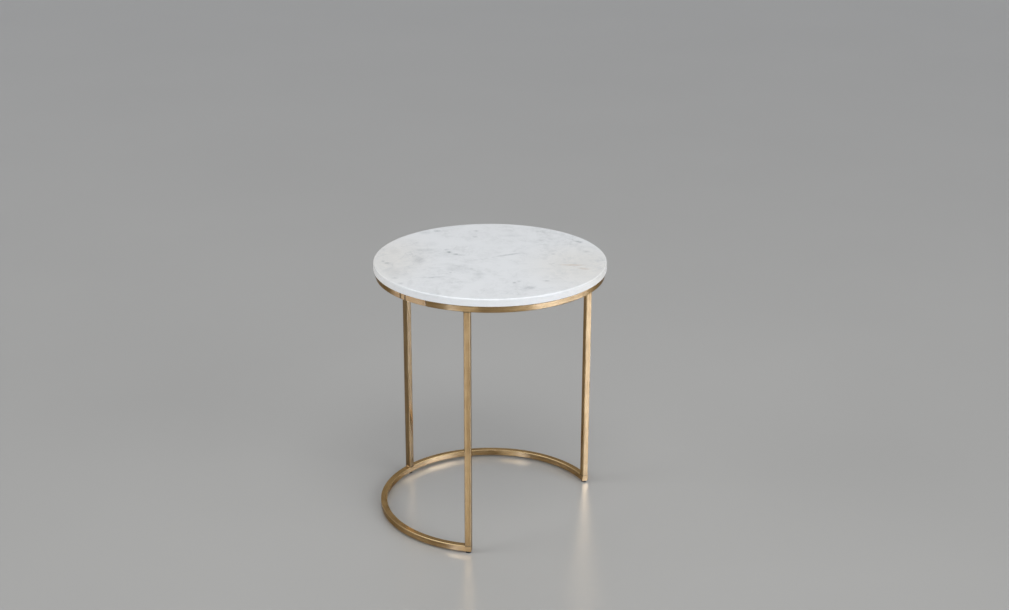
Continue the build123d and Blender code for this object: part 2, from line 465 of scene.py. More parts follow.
def polished_marble(stone):
    """White marble, honed and polished: gives a calm white with grey clouds under clear gloss."""
    made, tree = new_material("white marble polished")
    place = add(tree, "TexCoord")["Object"]
    grain = add(tree, "Mapping", {"Vector": place, "Rotation": (0, 0, GRAIN_TURN)})[0]

    # Clouds 60 to 150 mm across, drawn out along the grain.
    drawn = add(tree, "VectorMath", [grain, (1.0, 0.85, 1.0)], "MULTIPLY")[0]
    cloud = add(tree, "TexNoise", {
        "Vector": drawn, "Scale": 13, "Detail": 6, "Roughness": 0.62, "Distortion": 0.9})[0]
    cloud = add(tree, "MapRange", [cloud, 0.42, 0.72])[0]
    # Mottling 10 to 20 mm across inside the clouds.
    mottle = add(tree, "TexNoise", {
        "Vector": drawn, "Scale": 75, "Detail": 5, "Roughness": 0.6, "Distortion": 0.6})[0]
    mottle = add(tree, "MapRange", [mottle, 0.35, 0.75])[0]
    grey = add(tree, "Math", [cloud, mottle, 0.15], "MULTIPLY_ADD")[0]

    # Hair veins where a broad noise crosses its middle value.
    hair = add(tree, "TexNoise", {
        "Vector": drawn, "Scale": 9, "Detail": 4, "Roughness": 0.5, "Distortion": 1.4})[0]
    hair = add(tree, "Math", [hair, 0.5], "SUBTRACT")[0]
    hair = add(tree, "Math", [hair], "ABSOLUTE")[0]
    hair = add(tree, "MapRange", [hair, 0.012, 0.0, 0.0, 0.22])[0]
    hair = add(tree, "Math", [hair, cloud], "MULTIPLY")[0]

    # The marks are pulled about by up to 4 mm so that none keeps the outline of an oval.
    pull = add(tree, "TexNoise", {"Vector": grain, "Scale": 70, "Detail": 4, "Roughness": 0.65})[1]
    pull = add(tree, "VectorMath", [pull, (0.5, 0.5, 0.5)], "SUBTRACT")[0]
    pulled = add(tree, "VectorMath", {
        0: pull, 1: (9 * MM, 9 * MM, 0), 2: grain}, "MULTIPLY_ADD")[0]
    dark = marks_mask(tree, pulled, STONE_MARKS)
    streak = add(tree, "TexNoise", {
        "Vector": grain, "Scale": 190, "Detail": 3, "Roughness": 0.6})[0]
    streak = add(tree, "MapRange", [streak, 0.35, 0.65, 0.5, 1.0])[0]
    dark = add(tree, "Math", [dark, streak], "MULTIPLY")[0]
    dark = add(tree, "Math", [dark, hair], "MAXIMUM")[0]
    stain = marks_mask(tree, pulled, STONE_STAINS)

    # The marks lie in the face; as painted light, they and the clouds fade down the edge, which
    # leaves the edge paler.
    height = add(tree, "SeparateXYZ", [place])[2]
    paler_edge = add(tree, "MapRange", [height, TOP_HIGH.z - 8 * MM, TOP_HIGH.z - 1 * MM, 0.3])[0]
    dark = add(tree, "Math", [dark, paler_edge], "MULTIPLY")[0]
    grey = add(tree, "Math", [grey, paler_edge], "MULTIPLY")[0]

    # Crystals of 1 to 2 mm, which only just tell from each other.
    crystal = add(tree, "TexVoronoi", {"Vector": place, "Scale": 700})["Color"]
    crystal = add(tree, "SeparateColor", [crystal])[0]
    crystal = add(tree, "MapRange", [crystal, 0.0, 1.0, -0.05, 0.05])[0]
    grey = add(tree, "Math", [grey, crystal], "ADD", use_clamp=True)[0]

    bank = marks_mask(tree, pulled, STONE_BANKS)
    colour = stone.ground
    layers = ((bank, stone.cream), (grey, stone.cloud), (stain, stone.iron), (dark, stone.vein))
    for share, tint in layers:
        colour = add(tree, "Mix", {BY: share, FROM: colour, TO: tint}, **COLOURS)[MIXED]

    # The underside is sawn and left dull, with shallow saw lines 6 mm apart.
    sawn = add(tree, "Math", [height, TOP_LOW.z + SAWN], "LESS_THAN")[0]
    smudge = add(tree, "TexNoise", {"Vector": place, "Scale": 22, "Detail": 4})[0]
    gloss = add(tree, "MapRange", [smudge, 0.3, 0.7, 0.10, 0.17])[0]
    # The edge is honed, which leaves it duller than the polished face.
    honed = add(tree, "MapRange", [height, TOP_HIGH.z - 1 * MM, TOP_HIGH.z - 4 * MM, 0.0, 0.22])[0]
    gloss = add(tree, "Math", [gloss, honed], "ADD")[0]
    rough = add(tree, "Mix", {0: sawn, 2: gloss, 3: 0.75}, data_type="FLOAT")[0]
    saw = add(tree, "TexWave", {"Vector": grain, "Scale": 55, "Distortion": 0.6, "Detail": 2})[1]
    saw = add(tree, "Math", [saw, sawn], "MULTIPLY")[0]
    pits = add(tree, "TexNoise", {"Vector": place, "Scale": 420, "Detail": 2})[0]
    relief = add(tree, "Math", [pits, 0.12, saw], "MULTIPLY_ADD")[0]
    normal = add(tree, "Bump", {"Strength": 0.12, "Distance": 0.1 * MM, "Height": relief})[0]
    shader = add(tree, "BsdfPrincipled", {
        "Base Color": colour, "Roughness": rough, "IOR": 1.5, "Normal": normal})[0]
    return finish_material(made, shader)


SEAM_ANGLES = (169.5, 173.0, 186.1)  # hairlines of the ring's butt joints, in degrees
SEAM_WIDTHS = (0.55, 0.5, 0.3)  # how far the polish left in each one reaches, in degrees
SEAM_GROOVE = ((-0.3, 0.0), (-0.16, 0.25 * MM), (0.16, 0.25 * MM), (0.3, 0.0))
PAINTED_SHEEN_SPAN = (160.0, 186.1)  # stretch of the ring painted paler, a painted reflection of a window
PAINTED_SHEEN_FADE = 6.0  # degrees over which that painted reflection begins
PAINTED_SHEEN_GAIN = (3.3, 3.6, 5.2, 1)  # how much paler the painted reflection makes the brass at its full strength
PAINTED_SHEEN_SHARE = 0.5  # share of that full strength that is painted
CROWN = 5.0  # how much the crown counts beside the waves in the flats
GRAZED = (0.58, 0.47, 0.33, 1.0)  # brushed brass gives back less light seen almost edge-on


def brushed_brass(brass, name, turn, seams_and_sheen=False, joints=False, painted_shade=0.0, glint_share=0.9):
    """Brass tube, satin brushed and lacquered: gives soft gold bands with fine lines along it."""
    made, tree = new_material(name)
    run = add(tree, "Attribute", attribute_name="run", attribute_type="GEOMETRY")["Vector"]
    glint_weight = add(tree, "SeparateXYZ", [run])[2]

    # Brush lines are 0.1 to 0.2 mm apart; drawn 0.7 mm apart so that they show.
    lines = add(tree, "VectorMath", [run, (14, 1400, 0)], "MULTIPLY")[0]
    lines = add(tree, "TexNoise", {"Vector": lines, "Scale": 1, "Detail": 3, "Roughness": 0.6})[0]
    # Broader streaks, 3 to 6 mm wide and 100 mm long, from the belt that brushed it.
    streaks = add(tree, "VectorMath", [run, (9, 260, 0)], "MULTIPLY")[0]
    streaks = add(tree, "TexNoise", {
        "Vector": streaks, "Scale": 1, "Detail": 2, "Roughness": 0.5})[0]
    # Cloudy ageing of the lacquer, 15 to 40 mm across.
    place = add(tree, "TexCoord")["Object"]
    age = add(tree, "TexNoise", {"Vector": place, "Scale": 38, "Detail": 5, "Roughness": 0.6})[0]
    tone = add(tree, "Math", [lines, streaks], "ADD")[0]
    tone = add(tree, "Math", [tone, age], "ADD")[0]
    tone = add(tree, "MapRange", [tone, 1.2, 1.8, 0.0, 0.85])[0]
    colour = add(tree, "Mix", {BY: tone, FROM: brass.tone, TO: brass.deep}, **COLOURS)[MIXED]
    if painted_shade:
        # Painted shade: the brass of this leg is darkened as a whole, a shaded copy of the same
        # brass.
        colour = add(tree, "VectorMath", {0: colour, 3: 1 - painted_shade}, "SCALE")[0]
    # Painted highlight: the long corners are painted paler, here more and there less, to brighten
    # their glints.
    corner_glint = add(tree, "MapRange", [glint_weight, 0.5, 1.0, 0.0, glint_share])[0]
    corner_glint = add(tree, "Math", [corner_glint, age], "MULTIPLY", use_clamp=True)[0]
    colour = add(tree, "Mix", {BY: corner_glint, FROM: colour, TO: brass.corner_glint}, **COLOURS)[MIXED]
    rough = add(tree, "MapRange", [lines, 0.3, 0.7, 0.15, 0.24])[0]
    if joints:
        # Painted shade: the tube is darkened towards the seam tone in the corners where the legs
        # are welded on.
        level = add(tree, "SeparateXYZ", [place])[2]
        for edge in (BASE_HIGH.z, RING_LOW.z):
            away = add(tree, "Math", [level, edge], "SUBTRACT")[0]
            away = add(tree, "Math", [away], "ABSOLUTE")[0]
            joint_shade = add(tree, "MapRange", [away, 1.5 * MM, 0.6 * MM, 0.0, 0.8])[0]
            colour = add(tree, "Mix", {BY: joint_shade, FROM: colour, TO: brass.seam}, **COLOURS)[MIXED]
    if seams_and_sheen:
        spot = add(tree, "SeparateXYZ", [place])
        bearing = add(tree, "Math", [spot[1], spot[0]], "ARCTAN2")[0]
        for step, *terms in (("DEGREES",), ("ADD", 360.0), ("MODULO", 360.0)):
            bearing = add(tree, "Math", [bearing, *terms], step)[0]
        # Painted reflection: a stretch of the ring is painted paler, where a window would show in
        # it.
        start = add(tree, "MapRange", [bearing, PAINTED_SHEEN_SPAN[0], PAINTED_SHEEN_SPAN[0] + PAINTED_SHEEN_FADE])[0]
        end = add(tree, "Math", [bearing, PAINTED_SHEEN_SPAN[1]], "LESS_THAN")[0]
        painted_sheen = add(tree, "Math", [start, end], "MULTIPLY")[0]
        painted_sheen = add(tree, "Math", [painted_sheen, PAINTED_SHEEN_SHARE], "MULTIPLY")[0]
        gain = {BY: painted_sheen, FROM: (1, 1, 1, 1), TO: PAINTED_SHEEN_GAIN}
        gain = add(tree, "Mix", gain, **COLOURS)[MIXED]
        colour = add(tree, "VectorMath", [colour, gain], "MULTIPLY")[0]
        for angle, width in zip(SEAM_ANGLES, SEAM_WIDTHS):
            away = add(tree, "Math", [bearing, angle], "SUBTRACT")[0]
            away = add(tree, "Math", [away], "ABSOLUTE")[0]
            hair = add(tree, "MapRange", [away, width, width / 2, 0.0, 0.95])[0]
            colour = add(tree, "Mix", {BY: hair, FROM: colour, TO: brass.seam}, **COLOURS)[MIXED]
    # Rolling and drawing leave the flats very slightly uneven, in waves about 60 mm long.
    waves = add(tree, "TexNoise", {"Vector": place, "Scale": 16, "Detail": 1})[0]
    relief = add(tree, "Math", [lines, 0.04, waves], "MULTIPLY_ADD")[0]
    if joints:
        # The belt leaves the flats of the legs slightly crowned.
        flat = TUBE / 2 - brass.corner
        face = 2 * flat + radians(90) * brass.corner
        across = add(tree, "SeparateXYZ", [run])[1]
        shift = ("ADD", flat - face / 2)
        for step, *terms in (shift, ("DIVIDE", face), ("FRACT",), ("SUBTRACT", 0.5)):
            across = add(tree, "Math", [across, *terms], step)[0]
        crown = add(tree, "Math", [across, across], "MULTIPLY")[0]
        relief = add(tree, "Math", [crown, -CROWN, relief], "MULTIPLY_ADD")[0]
    normal = add(tree, "Bump", {"Strength": 0.5, "Distance": 0.35 * MM, "Height": relief})[0]
    tangent = add(tree, "Tangent", direction_type="RADIAL", axis="Z")[0]
    shader = add(tree, "BsdfPrincipled", {
        "Base Color": colour, "Metallic": 1.0, "Roughness": rough, "Specular Tint": GRAZED,
        "Anisotropic": 0.45, "Anisotropic Rotation": turn, "Coat Weight": 0.33,
        "Coat Roughness": 0.12, "Normal": normal, "Tangent": tangent})[0]
    return finish_material(made, shader)


ALONG_RING = 0.25  # the brush ran round the ring, so the gloss spreads across the tube
ALONG_LEG = 0.0  # the brush ran up the leg, so the gloss spreads sideways


def two_tones(made, colours, masks, gloss, relief, **sockets):
    """Finishes a small part's material: two tones, a run of roughness and a fine relief."""
    tree = made.node_tree
    (first, second), (tone, glint_share, height), (strength, depth) = colours, masks, relief
    colour = add(tree, "Mix", {BY: tone, FROM: first, TO: linear(second)}, **COLOURS)[MIXED]
    rough = add(tree, "MapRange", [glint_share, 0.0, 1.0, *gloss])[0]
    bump = {"Strength": strength, "Distance": depth * MM, "Height": height}
    normal = add(tree, "Bump", bump)[0]
    sockets.update({"Base Color": colour, "Roughness": rough, "Normal": normal})
    return finish_material(made, add(tree, "BsdfPrincipled", sockets)[0])


def moulded_nylon(small):
    """Black nylon, injection moulded: gives a dull satin black with a faint spark-eroded grain."""
    made, tree = new_material("black nylon moulded")
    place = add(tree, "TexCoord")["Object"]
    # The grain is 0.1 mm; drawn 0.6 mm so that it shows. Scuffs are 4 mm across.
    grit = add(tree, "TexNoise", {"Vector": place, "Scale": 1600, "Detail": 2})[0]
    scuff = add(tree, "TexNoise", {"Vector": place, "Scale": 260, "Detail": 4})[0]
    colours = (small.plastic, "#2A2A2C")
    return two_tones(made, colours, (scuff, scuff, grit), (0.42, 0.62), (0.3, 0.05), IOR=1.53)


def plated_steel(small):
    """Steel, zinc plated: gives a cool silver with a faint cloudy spangle."""
    made, tree = new_material("steel zinc plated")
    place = add(tree, "TexCoord")["Object"]
    # Spangle 1 mm across under clouds of 4 mm.
    spangle = add(tree, "TexVoronoi", {"Vector": place, "Scale": 900})["Distance"]
    cloud = add(tree, "TexNoise", {"Vector": place, "Scale": 240, "Detail": 4})[0]
    tone = add(tree, "Math", [spangle, cloud], "MULTIPLY")[0]
    colours = (small.zinc, "#8F959B")
    return two_tones(made, colours, (tone, cloud, tone), (0.26, 0.44), (0.15, 0.04), Metallic=1.0)


def turned_brass(small):
    """Free-cutting brass, turned: gives a yellow metal with fine marks from the tool."""
    made, tree = new_material("brass turned")
    place = add(tree, "TexCoord")["Object"]
    # Tool marks are 0.1 mm apart; drawn 0.9 mm so that they show.
    marks = add(tree, "TexNoise", {"Vector": place, "Scale": 1100, "Detail": 2})[0]
    colours = (small.turned, "#A58A52")
    return two_tones(made, colours, (marks, marks, marks), (0.2, 0.4), (0.2, 0.04), Metallic=1.0)


def cast_silicone(small):
    """Silicone, cast in drops: gives a milky soft pad with a wet-looking skin and some dust."""
    made, tree = new_material("silicone cast")
    place = add(tree, "TexCoord")["Object"]
    # Specks of dust 1.5 mm across.
    dust = add(tree, "TexNoise", {"Vector": place, "Scale": 700, "Detail": 4})[0]
    colours = (small.silicone, "#BFBEB8")
    return two_tones(made, colours, (dust, dust, dust), (0.3, 0.55), (0.2, 0.05), IOR=1.41)


FLOOR_FADE = (6.0, 12.0)  # metres from the table between which the floor becomes backdrop


def painted_floor(stage):
    """Screed, sealed and painted: gives a plain pale floor with a soft low sheen."""
    made, tree = new_material("screed sealed")
    place = add(tree, "TexCoord")["Object"]
    # The tone drifts a little, over 0.6 m.
    drift = add(tree, "TexNoise", {"Vector": place, "Scale": 1.6, "Detail": 5})[0]
    shade = add(tree, "MapRange", [drift, 0.3, 0.7, 0.985, 1.015])[0]
    colour = add(tree, "VectorMath", {0: stage.floor[:3], 3: shade}, "SCALE")[0]
    sealed = {"Base Color": colour, "Roughness": 0.3, "IOR": 1.45}
    shader = add(tree, "BsdfPrincipled", sealed)[0]
    # Far from the table the floor passes softly into the backdrop, with no hard horizon.
    reach = add(tree, "VectorMath", [place], "LENGTH")["Value"]
    far = add(tree, "MapRange", [reach, *FLOOR_FADE], **SMOOTH)[0]
    path = add(tree, "LightPath")
    seen = path["Is Camera Ray"]
    for kind in ("Is Glossy Ray", "Is Transmission Ray"):
        seen = add(tree, "Math", [seen, path[kind]], "MAXIMUM")[0]
    far = add(tree, "Math", [far, seen], "MULTIPLY")[0]
    backdrop = add(tree, "Emission", {"Color": stage.sky, "Strength": 1.0})[0]
    shader = add(tree, "MixShader", [far, shader, backdrop])[0]
    return finish_material(made, shader)


def shared_material(name, make, *values, **options):
    """The material of that name, made the first time that it is asked for."""
    return bpy.data.materials.get(name) or make(*values, **options)


def tube_material(brass, kind):
    """The brushed brass of the rolled tubes, of the ring with its seams and its painted
    reflection, or of the legs, the back leg darkened as painted shade.
    """
    leg = {"joints": True, "glint_share": 0.4}
    kinds = {
        "rolled": ("brass tube brushed round", ALONG_RING, {}),
        "ring": ("brass ring brushed round", ALONG_RING, {"seams_and_sheen": True}),
        "leg": ("brass tube brushed lengthwise", ALONG_LEG, leg),
        # The back leg takes a darker copy of the leg's brass, as painted shade.
        "shaded back leg": ("aged brass tube brushed lengthwise", ALONG_LEG, {**leg, "painted_shade": 0.4}),
    }
    name, turn, options = kinds[kind]
    return shared_material(name, brushed_brass, brass, name, turn, **options)


# ---- Operators ------------------------------------------------------------------------------
DISC_STEPS = 360
HOLE_STEPS = 48
HOLE_WIDER = 0.1 * MM  # room for the epoxy round each insert
HOLE_DEEPER = 1.5 * MM


class SIDETABLE_OT_marble_top(bpy.types.Operator):
    """Turn the marble disc with its polished edge and the blind holes of its inserts"""

    bl_idname = "sidetable.marble_top"
    bl_label = "Marble Top"

    def execute(self, context):
        stone = context.scene.side_table.stone
        radius, low, high = TOP_HIGH.x, TOP_LOW.z, TOP_HIGH.z
        ease, rim = stone.edge_round, stone.arris
        outline = [(0.0, low), (radius - rim - SUPPORT, low)]
        outline += round_edge(radius - rim, low + rim, rim, -90, 4)
        outline += [(radius, low + rim + SUPPORT), (radius, high - ease - SUPPORT)]
        outline += round_edge(radius - ease, high - ease, ease, 0, 12)
        outline += [(radius - ease - SUPPORT, high), (radius / 2, high), (0.0, high)]
        mesh = lathe(bpy.data.meshes.new("marble_disc"), outline, DISC_STEPS)
        disc = bpy.data.objects.new("marble_disc", mesh)

        # The blind holes are cut where the inserts stand, a little wider and deeper.
        insert_low, insert_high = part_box("marble_inserts")
        hole = -insert_low.y - SCREW_CIRCLE + HOLE_WIDER
        below, depth = low - 1 * MM, insert_high.z + HOLE_DEEPER
        bore = [(0.0, below), (hole, below), (hole, depth), (0.0, depth)]
        cutter = bpy.data.objects.new("hole_cutter", bpy.data.meshes.new("hole_cutter"))
        for _, spot in SCREW_SPOTS:
            lathe(cutter.data, bore, HOLE_STEPS, spot)
        for item in (cutter, disc):
            context.scene.collection.objects.link(item)
        cut = disc.modifiers.new("holes", "BOOLEAN")
        cut.operation, cut.object, cut.solver = "DIFFERENCE", cutter, "EXACT"
        bored = disc.evaluated_get(context.evaluated_depsgraph_get())
        bored = bpy.data.meshes.new_from_object(bored)
        for item in (cutter, disc):
            bpy.data.objects.remove(item)
        marble = shared_material("white marble polished", polished_marble, stone)
        place_piece("marble_disc", bored, marble, ["marble_top"])
        return {"FINISHED"}


def round_point(radius, turn, level):
    """Point at a distance from the table's axis, in one direction and at one level."""
    return Vector((radius * cos(turn), radius * sin(turn), level))


def ring_points(section, turn, level, sunk=0.0):
    """Points of a tube section that stands upright across a rolled ring, or a little smaller."""
    out, up = round_point(1, turn, 0), Vector((0, 0, 1))
    scale = 1 - sunk / (TUBE / 2)
    spots = [(TUBE_CENTRE + scale * x, level + scale * y) for x, y, _, _ in section]
    return [out * radius + up * height for radius, height in spots]


SEAM_CLEAR = 0.45  # degrees on each side of a seam that hold no section but its groove's


class SIDETABLE_OT_top_ring(bpy.types.Operator):
    """Roll the tube ring that carries the marble"""

    bl_idname = "sidetable.top_ring"
    bl_label = "Top Ring"

    def execute(self, context):
        brass = context.scene.side_table.brass
        section, total = square_section(TUBE / 2, brass.corner)
        middle = (RING_LOW.z + RING_HIGH.z) / 2
        # Sections stand a degree apart, with a groove of four at each seam.
        spots = []
        for angle in (step + 0.5 for step in range(360)):
            if all(abs(angle - seam) > SEAM_CLEAR for seam in SEAM_ANGLES):
                spots.append((angle, 0.0))
        for seam in SEAM_ANGLES:
            spots += [(seam + away, sunk) for away, sunk in SEAM_GROOVE]
        # The row starts and ends in the last seam, where the brush lines may break.
        first = SEAM_ANGLES[-1]
        spots = sorted(((angle - first) % 360, sunk) for angle, sunk in spots)
        spots = [(radians(first + angle), sunk) for angle, sunk in spots]
        sections = [ring_points(section, turn, middle, sunk) for turn, sunk in spots]
        along = [turn * TUBE_CENTRE for turn, _ in spots]
        along.append((spots[0][0] + 2 * pi) * TUBE_CENTRE)
        mesh = bpy.data.meshes.new("rolled_ring")
        sweep(mesh, sections, along, section, total, loop=True)
        ring = tube_material(brass, "ring")
        place_piece("rolled_ring", mesh, ring, ["top_ring"])
        return {"FINISHED"}


BASE_STEPS = 234  # about one for each degree
END_PLATE = 1.5 * MM  # thickness of the plates that close the base
PLATE_EASE = 0.35 * MM  # chamfer on the outer face of a plate


class SIDETABLE_OT_base(bpy.types.Operator):
    """Roll the open C of the base and close its two ends with plates"""

    bl_idname = "sidetable.base"
    bl_label = "Base"

    def execute(self, context):
        brass = context.scene.side_table.brass
        section, total = square_section(TUBE / 2, brass.corner)
        middle = (BASE_LOW.z + BASE_HIGH.z) / 2
        reach = TUBE / 2 - END_PLATE
        first, last = leg_angle("right"), leg_angle("left")
        if last < first:
            last += 2 * pi
        turns = [first + (last - first) * step / BASE_STEPS for step in range(BASE_STEPS + 1)]
        sections = [ring_points(section, turn, middle) for turn in turns]
        for angle, way, at in ((first, -1, 0), (last, 1, len(sections) + 1)):
            # Each corner of the end section runs on to the plate's plane.
            ring = []
            for x, y, _, _ in section:
                radius = TUBE_CENTRE + x
                turn = angle + way * asin(reach / radius)
                ring.append(round_point(radius, turn, middle + y))
            sections.insert(at, ring)
        extra = reach / TUBE_CENTRE
        along = [turn * TUBE_CENTRE for turn in (first - extra, *turns, last + extra)]
        mesh = sweep(bpy.data.meshes.new("rolled_base"), sections, along, section, total)
        rolled = tube_material(brass, "rolled")
        place_piece("rolled_base", mesh, rolled, ["base_arc"])

        eased, _ = square_section(TUBE / 2 - PLATE_EASE, brass.corner)
        cuts = ((reach, section), (TUBE / 2 - PLATE_EASE, section), (TUBE / 2, eased))
        along = [out for out, _ in cuts]
        flat = tube_material(brass, "leg")
        for side, way in (("left", 1), ("right", -1)):
            name, place = f"end_plate_{side}", leg_place(side, middle)
            rows = [[Vector((x, way * out, y)) for x, y, _, _ in shape] for out, shape in cuts]
            mesh = sweep(bpy.data.meshes.new(name), rows, along, section, total)
            place_piece(name, mesh, flat, [f"end_cap_{side}"], matrix=place)
        return {"FINISHED"}


LEG_SPANS = 12
LEG_SINK = 0.7  # how deep a leg's ends go into the rounds of the tubes, as a share of them
LEG_EASE = 0.12 * MM  # how much smaller the buried ends are
LEG_STOCK = 1.7  # metres of tube between the cuts of two legs


class SIDETABLE_OT_legs(bpy.types.Operator):
    """Cut the three legs and let them into the rounds of the ring and the base"""

    bl_idname = "sidetable.legs"
    bl_label = "Legs"

    def execute(self, context):
        brass = context.scene.side_table.brass
        section, total = square_section(TUBE / 2, brass.corner)
        ends, _ = square_section(TUBE / 2 - LEG_EASE, brass.corner)
        sink = brass.corner * LEG_SINK
        for number, side in enumerate(LEG_SIDES):
            low, high = (corner.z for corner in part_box(f"leg_{side}"))
            levels = [low + (high - low) * step / LEG_SPANS for step in range(LEG_SPANS)]
            levels = [low - sink, *levels, high, high + sink]
            shapes = [ends, *[section] * (LEG_SPANS + 1), ends]
            rows = []
            for level, shape in zip(levels, shapes):
                rows.append([Vector((x, y, level)) for x, y, _, _ in shape])
            # Each leg is cut from another stretch of the tube, so its brush lines differ.
            along = [level + LEG_STOCK * number for level in levels]
            name, place = f"tube_leg_{side}", leg_place(side)
            mesh = sweep(bpy.data.meshes.new(name), rows, along, section, total)
            # The back leg gets the copy of the brass that is darkened as painted shade.
            kind = tube_material(brass, "shaded back leg" if side == "back" else "leg")
            place_piece(name, mesh, kind, [f"leg_{side}"], matrix=place)
        return {"FINISHED"}


BEAD_STEPS = 40
BEAD_RIBS = 9
BEAD_RIPPLE = 0.07  # height of the ribs, as a share of the bead
BEAD_SHIFT = 0.31  # how far the ribs of each bead are moved on from the last one's
BEAD_TAPER = 6  # each end is rounded over a sixth of the length
BEAD_TIP = 0.05  # least size at the tips, as a share of the bead
BEAD_FACE = 0.86  # radius of its face, as a share of the bead's legs
BEAD_RUN = 0.4 * MM  # way round the bead between two of its points, for the brush lines
BEAD_ROUND = 3 * MM  # whole way round it
BEAD_GLINT = 0.6  # how much of the painted corner highlight it takes
BEAD_TURNS = map(radians, (18, 36, 54, 72))
BEAD_ARC = [(BEAD_FACE * cos(turn), BEAD_FACE * sin(turn)) for turn in BEAD_TURNS]
BEAD_SECTION = [(0, 0), (1, 0), *BEAD_ARC, (0, 1)]


def weld_bead(mesh, place, length, size, up, side, seed):
    """Adds one fillet bead beside a leg: a rippled run with rounded ends."""
    rows, along = [], []
    for step in range(BEAD_STEPS + 1):
        share = step / BEAD_STEPS
        ends = min(1.0, BEAD_TAPER * share, BEAD_TAPER * (1 - share)) ** 0.5
        ribs = sin(2 * pi * (BEAD_RIBS * share + BEAD_SHIFT * seed))
        reach = size * max(BEAD_TIP, ends * (1 + BEAD_RIPPLE * ribs))
        x = (share - 0.5) * length
        row = [Vector((x, side * reach * out, up * reach * rise)) for out, rise in BEAD_SECTION]
        rows.append([place @ point for point in row])
        along.append(x)
    section = [(0, 0, BEAD_RUN * number, BEAD_GLINT) for number in range(len(BEAD_SECTION))]
    return sweep(mesh, rows, along, section, BEAD_ROUND)


class SIDETABLE_OT_welds(bpy.types.Operator):
    """Lay the small fillet welds at the ends of the legs"""

    bl_idname = "sidetable.welds"
    bl_label = "Welds"

    def execute(self, context):
        brass = context.scene.side_table.brass
        length = TUBE - 2 * brass.corner
        both = (-1, 1)
        joints = (
            ("ring_welds", RING_LOW.z, -1, {"back": both, "left": both, "right": both}),
            ("base_welds", BASE_HIGH.z, 1, {"back": both, "left": (-1,), "right": (1,)}),
        )
        for number, (node, level, up, sides) in enumerate(joints):
            name = f"{node}_beads"
            mesh = bpy.data.meshes.new(name)
            for side, ways in sides.items():
                for way in ways:
                    place = leg_place(side, level) @ Matrix.Translation((0, way * TUBE / 2, 0))
                    seed = number * len(LEG_SIDES) + way + LEG_SIDES.index(side)
                    weld_bead(mesh, place, length, brass.bead, up, way, seed)
            place_piece(name, mesh, tube_material(brass, "leg"), [node])
        return {"FINISHED"}


GLIDE_EASE = 0.7 * MM  # round under the foot
GLIDE_RIM = 0.3 * MM  # round on the foot's upper edge, and chamfer of its bore
RUNNING_GAP = 0.05 * MM  # between the foot and its stem


class SIDETABLE_OT_glides(bpy.types.Operator):
    """Turn the black feet of the three levelling glides and cut their threaded stems"""

    bl_idname = "sidetable.glides"
    bl_label = "Glides"

    def execute(self, context):
        small = context.scene.side_table.small
        nylon = shared_material("black nylon moulded", moulded_nylon, small)
        zinc = shared_material("steel zinc plated", plated_steel, small)
        foot_low, foot_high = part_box("glide_foot_back")
        stem_low, stem_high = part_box("glide_stem_back")
        radius, high = (foot_high.x - foot_low.x) / 2, foot_high.z
        stem, sole = (stem_high.x - stem_low.x) / 2, stem_low.z
        ease, rim, bore = GLIDE_EASE, GLIDE_RIM, stem + RUNNING_GAP
        foot = [(0.0, 0.0), (radius - ease - SUPPORT, 0.0)]
        foot += round_edge(radius - ease, ease, ease, -90, 6)
        foot += round_edge(radius - rim, high - rim, rim, 0, 4)
        foot += [(bore + rim, high), (bore, high - rim), (bore, sole), (0.0, sole)]
        rod = [(0.0, sole), *rod_outline(stem, sole, stem_high.z)]
        # Form, outline, steps round it, cut, material and slot, and the CAD node it replaces.
        parts = (
            ("glide_disc", foot, 72, None, nylon, "glide_plastic", "glide_foot"),
            ("threaded_stem", rod, 24, thread_cut(stem), zinc, "zinc_steel", "glide_stem"),
        )
        for side in LEG_SIDES:
            body, place = f"glide_{side}", leg_place(side)
            for form, outline, steps, cut, material, slot, node in parts:
                name = f"{form}_{side}"
                mesh = lathe(bpy.data.meshes.new(name), outline, steps, cut=cut)
                place_piece(name, mesh, material, [f"{node}_{side}"], body, place)
        return {"FINISHED"}


class SIDETABLE_OT_fixings(bpy.types.Operator):
    """Cut the screws, and finish the small pieces kept from the CAD model"""

    bl_idname = "sidetable.fixings"
    bl_label = "Fixings"

    def execute(self, context):
        settings = context.scene.side_table
        small = settings.small
        zinc = shared_material("steel zinc plated", plated_steel, small)
        turned = shared_material("brass turned", turned_brass, small)
        silicone = shared_material("silicone cast", cast_silicone, small)
        tab = tube_material(settings.brass, "leg")
        kept = {
            "fixing_washers": (zinc, "zinc_steel"),
            "rivet_nuts": (zinc, "zinc_steel"),
            "marble_inserts": (turned, "insert_brass"),
            **{f"pad_{number}": (silicone, "silicone") for number in range(1, 7)},
            **{f"fixing_tab_{number}": (tab, "brass_tube") for number in range(1, 4)},
        }
        for node, (material, slot) in kept.items():
            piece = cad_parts[node]
            for entry in piece.material_slots:
                entry.material = material
            if not piece.material_slots:
                piece.data.materials.append(material)

        screws = bpy.data.meshes.new("hexagon_screws")
        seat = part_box("fixing_washers")[0].z
        for turn, spot in SCREW_SPOTS:
            hexagon_screw(screws, spot, turn, seat)
        place_piece("hexagon_screws", screws, zinc, ["fixing_screws"])
        return {"FINISHED"}


AIM = Vector((0, 0, TOP_HIGH.z / 2))  # the lamps face the middle of the table
GRID = radians(120)
# Lamps: direction and lift in degrees, distance, width and height in metres, and radiance.
LAMPS = {
    "key_softbox": (270, 21, 10.0, 6.4, 5.7, 5.4),
    "fill_softbox": (142, 23, 10.0, 5.7, 5.0, 4.9),
    "overhead_softbox": (235, 62, 3.2, 1.4, 1.4, 4.3),
}


